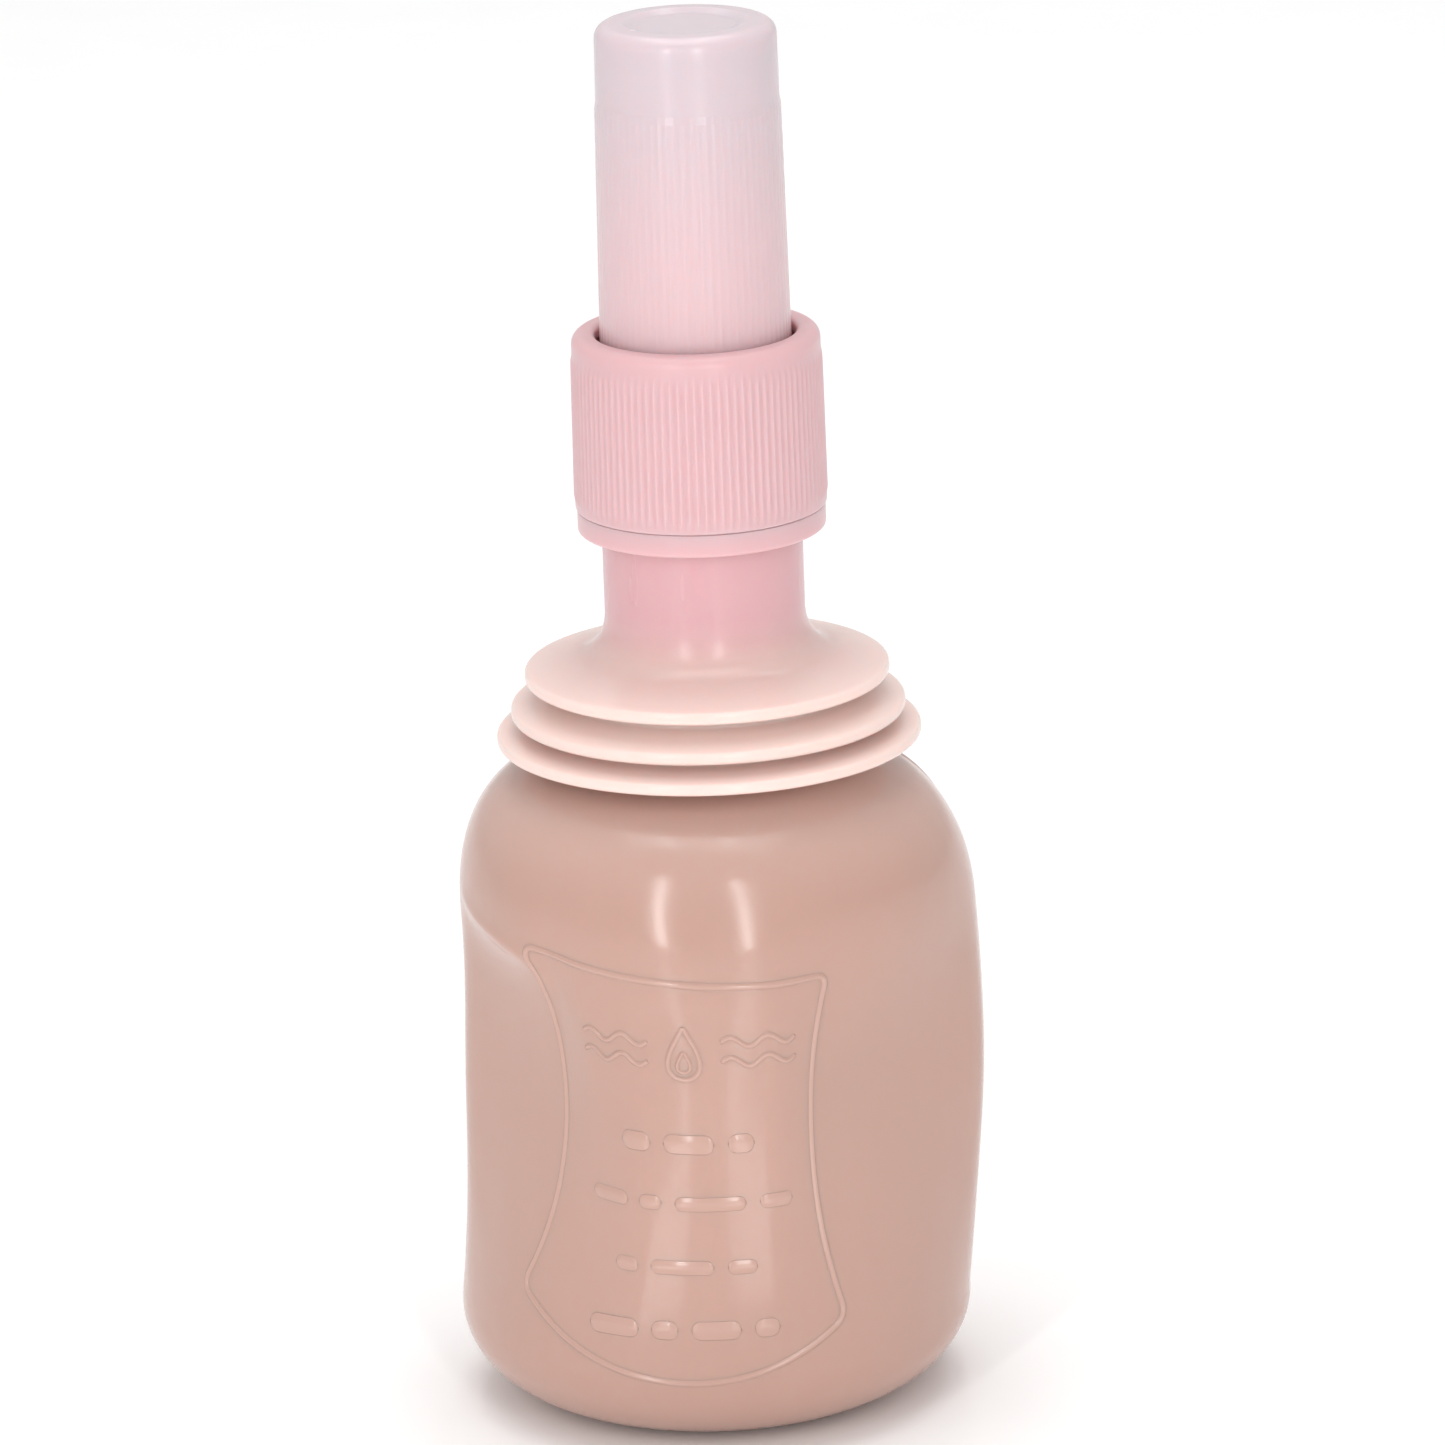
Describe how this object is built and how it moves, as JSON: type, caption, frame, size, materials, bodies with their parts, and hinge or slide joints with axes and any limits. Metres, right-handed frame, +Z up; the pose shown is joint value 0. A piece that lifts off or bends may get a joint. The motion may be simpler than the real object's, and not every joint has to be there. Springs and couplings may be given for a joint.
{
  "type": "squeeze irrigator bottle",
  "caption": "Soft squeeze bottle with a bellows neck, ribbed screw collar, tamper band, capped nozzle, non-return valve and dip tube.",
  "frame": {"origin": "centre of the flat base the bottle stands on", "axes": "+Z up along the neck, the label panel of the squeeze body faces -Y, +X to the right of the label"},
  "size_m": [0.052, 0.052, 0.1412],
  "materials": {
    "body_plastic": "satin translucent",
    "bellows_plastic": "satin translucent",
    "neck_plastic": "satin translucent",
    "collar_plastic": "fine moulded satin",
    "cap_plastic": "smooth translucent",
    "nozzle_plastic": "smooth natural",
    "seal_rubber": "matte"
  },
  "bodies": {
    "bottle": {"bottle_body": "body_plastic"},
    "front_wall": {"squeeze_wall_front": "body_plastic"},
    "back_wall": {"squeeze_wall_back": "body_plastic"},
    "fold_lower": {"bellows_fold_lower": "bellows_plastic"},
    "fold_middle": {"bellows_fold_middle": "bellows_plastic"},
    "fold_upper": {"bellows_fold_upper": "bellows_plastic"},
    "neck": {"neck_tube": "neck_plastic"},
    "band": {"tamper_band": "collar_plastic"},
    "nozzle": {"cannula": "nozzle_plastic", "sealing_washer": "seal_rubber", "valve_seat": "nozzle_plastic", "valve_cage": "nozzle_plastic", "dip_tube": "nozzle_plastic"},
    "valve_disc": {"valve_disc": "seal_rubber"},
    "collar": {"ribbed_collar": "collar_plastic"},
    "overcap": {"overcap": "cap_plastic"}
  },
  "joints": [
    {"name": "front_squeeze", "type": "slide", "parent": "bottle", "child": "front_wall", "axis": [0, 1, 0], "range_m": [0, 0.005], "stiffness_N_per_m": 1500},
    {"name": "back_squeeze", "type": "slide", "parent": "bottle", "child": "back_wall", "axis": [0, -1, 0], "range_m": [0, 0.005], "stiffness_N_per_m": 1500},
    {"name": "bellows_stretch", "type": "slide", "parent": "bottle", "child": "neck", "axis": [0, 0, 1], "range_m": [0, 0.015]},
    {"name": "fold_lower_rise", "type": "slide", "parent": "bottle", "child": "fold_lower", "axis": [0, 0, 1], "range_m": [0, 0.0025]},
    {"name": "fold_middle_rise", "type": "slide", "parent": "bottle", "child": "fold_middle", "axis": [0, 0, 1], "range_m": [0, 0.0075]},
    {"name": "fold_upper_rise", "type": "slide", "parent": "bottle", "child": "fold_upper", "axis": [0, 0, 1], "range_m": [0, 0.0125]},
    {"name": "tamper_band_turn", "type": "hinge", "parent": "neck", "child": "band", "pos_m": [0, 0, 0.091], "axis": [0, 0, 1], "continuous": true},
    {"name": "collar_rise", "type": "slide", "parent": "neck", "child": "nozzle", "axis": [0, 0, 1], "range_m": [0, 0.0048]},
    {"name": "collar_turn", "type": "hinge", "parent": "nozzle", "child": "collar", "pos_m": [0, 0, 0.1], "axis": [0, 0, 1], "range_deg": [0, 540]},
    {"name": "overcap_pull", "type": "slide", "parent": "nozzle", "child": "overcap", "axis": [0, 0, 1], "range_m": [0, 0.045]},
    {"name": "valve_lift", "type": "slide", "parent": "nozzle", "child": "valve_disc", "axis": [0, 0, 1], "range_m": [0, 0.0008]}
  ],
  "couplings": [
    {"joint": "back_squeeze", "follows": "front_squeeze", "ratio": 1},
    {"joint": "fold_lower_rise", "follows": "bellows_stretch", "ratio": 0.16666},
    {"joint": "fold_middle_rise", "follows": "bellows_stretch", "ratio": 0.5},
    {"joint": "fold_upper_rise", "follows": "bellows_stretch", "ratio": 0.83333},
    {"joint": "collar_rise", "follows": "collar_turn", "m_per_rad": 0.00050929}
  ]
}
